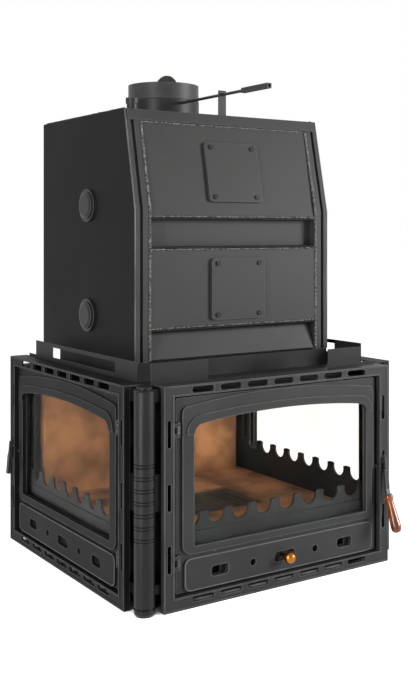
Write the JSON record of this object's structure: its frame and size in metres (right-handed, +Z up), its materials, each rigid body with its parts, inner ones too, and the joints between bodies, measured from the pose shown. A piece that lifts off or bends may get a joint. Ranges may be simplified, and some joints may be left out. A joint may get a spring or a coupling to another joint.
{
  "type": "fireplace insert",
  "caption": "Three-sided cast-iron fireplace insert with glazed doors, air slide, boiler hood, flue collar and damper.",
  "frame": {"origin": "middle of the firebox's width on the floor, 324 mm behind the front of the steel body", "axes": "+Z up, the front door faces -Y, +X to the right seen from the front"},
  "size_m": [0.8474, 0.8176, 1.322],
  "materials": {
    "cast_black": "satin black stove paint on cast iron",
    "sheet_black": "satin black heat-proof paint",
    "boiler_paint": "satin dark grey heat-proof paint",
    "bare_steel": "plain zinc plated steel",
    "lever_steel": "forged steel, darkened",
    "oiled_iron": "rough cast iron, unpainted",
    "brass": "polished",
    "wood": "red-brown lacquer",
    "stove_glass": "clear ceramic glass",
    "seal_fibre": "braided glass fibre",
    "fire_brick": "rough chamotte"
  },
  "bodies": {
    "insert": {"front_frame": "cast_black", "left_frame": "cast_black", "right_frame": "cast_black", "corner_column": "cast_black", "front_log_guard": "cast_black", "left_log_guard": "cast_black", "right_log_guard": "cast_black", "floor_plate": "sheet_black", "rear_wall": "sheet_black", "corner_posts": "sheet_black", "top_plate": "sheet_black", "front_upstands": "sheet_black", "left_upstand": "sheet_black", "right_upstand": "sheet_black", "smoke_neck": "sheet_black", "left_side_sheet": "sheet_black", "right_side_sheet": "sheet_black", "top_sheet": "sheet_black", "rear_sheet": "sheet_black", "flue_collar": "sheet_black", "guide_post": "sheet_black", "cover_plates": "sheet_black", "boiler_shell": "boiler_paint", "smoke_chamber": "boiler_paint", "side_sockets": "boiler_paint", "socket_caps": "boiler_paint", "vent_nipple": "boiler_paint", "frame_bolts": "bare_steel", "cover_screws": "bare_steel", "hinge_pins": "bare_steel", "hearth_plate": "oiled_iron", "grate": "oiled_iron", "ash_pan": "oiled_iron", "baffle_plate": "oiled_iron", "floor_bricks": "fire_brick", "back_bricks": "fire_brick"},
    "front_door": {"front_door_leaf": "cast_black", "front_door_glass": "stove_glass", "front_glass_seal": "seal_fibre", "front_door_rope": "seal_fibre", "front_door_clips": "bare_steel"},
    "left_door": {"left_door_leaf": "cast_black", "left_door_glass": "stove_glass", "left_glass_seal": "seal_fibre", "left_door_rope": "seal_fibre", "left_door_clips": "bare_steel"},
    "right_door": {"right_door_leaf": "cast_black", "right_door_glass": "stove_glass", "right_glass_seal": "seal_fibre", "right_door_rope": "seal_fibre", "right_door_clips": "bare_steel"},
    "front_handle": {"front_lever": "lever_steel", "front_grip": "wood"},
    "left_handle": {"left_lever": "lever_steel"},
    "right_handle": {"right_lever": "lever_steel"},
    "air_shutter": {"air_slide": "bare_steel", "air_knob": "brass"},
    "damper": {"damper_disc": "oiled_iron", "damper_spindle": "bare_steel", "damper_sleeve": "boiler_paint"}
  },
  "joints": [
    {"name": "front_door_hinge", "type": "hinge", "parent": "insert", "child": "front_door", "pos_m": [-0.299, -0.365, 0.26], "axis": [0, 0, -1], "range_deg": [0, 110]},
    {"name": "left_door_hinge", "type": "hinge", "parent": "insert", "child": "left_door", "pos_m": [-0.398, -0.265, 0.26], "axis": [0, 0, 1], "range_deg": [0, 110]},
    {"name": "right_door_hinge", "type": "hinge", "parent": "insert", "child": "right_door", "pos_m": [0.398, -0.265, 0.26], "axis": [0, 0, -1], "range_deg": [0, 110]},
    {"name": "front_handle_pivot", "type": "hinge", "parent": "insert", "child": "front_handle", "pos_m": [0.325, -0.354, 0.25], "axis": [-1, 0, 0], "range_deg": [0, 45]},
    {"name": "left_handle_pivot", "type": "hinge", "parent": "insert", "child": "left_handle", "pos_m": [-0.387, 0.359, 0.25], "axis": [0, 1, 0], "range_deg": [0, 45]},
    {"name": "right_handle_pivot", "type": "hinge", "parent": "insert", "child": "right_handle", "pos_m": [0.387, 0.359, 0.25], "axis": [0, -1, 0], "range_deg": [0, 45]},
    {"name": "air_slide_travel", "type": "slide", "parent": "front_door", "child": "air_shutter", "axis": [1, 0, 0], "range_m": [-0.02, 0.02]},
    {"name": "damper_turn", "type": "hinge", "parent": "insert", "child": "damper", "pos_m": [0, 0.215, 1.232], "axis": [0, 1, 0], "range_deg": [0, 90]}
  ]
}
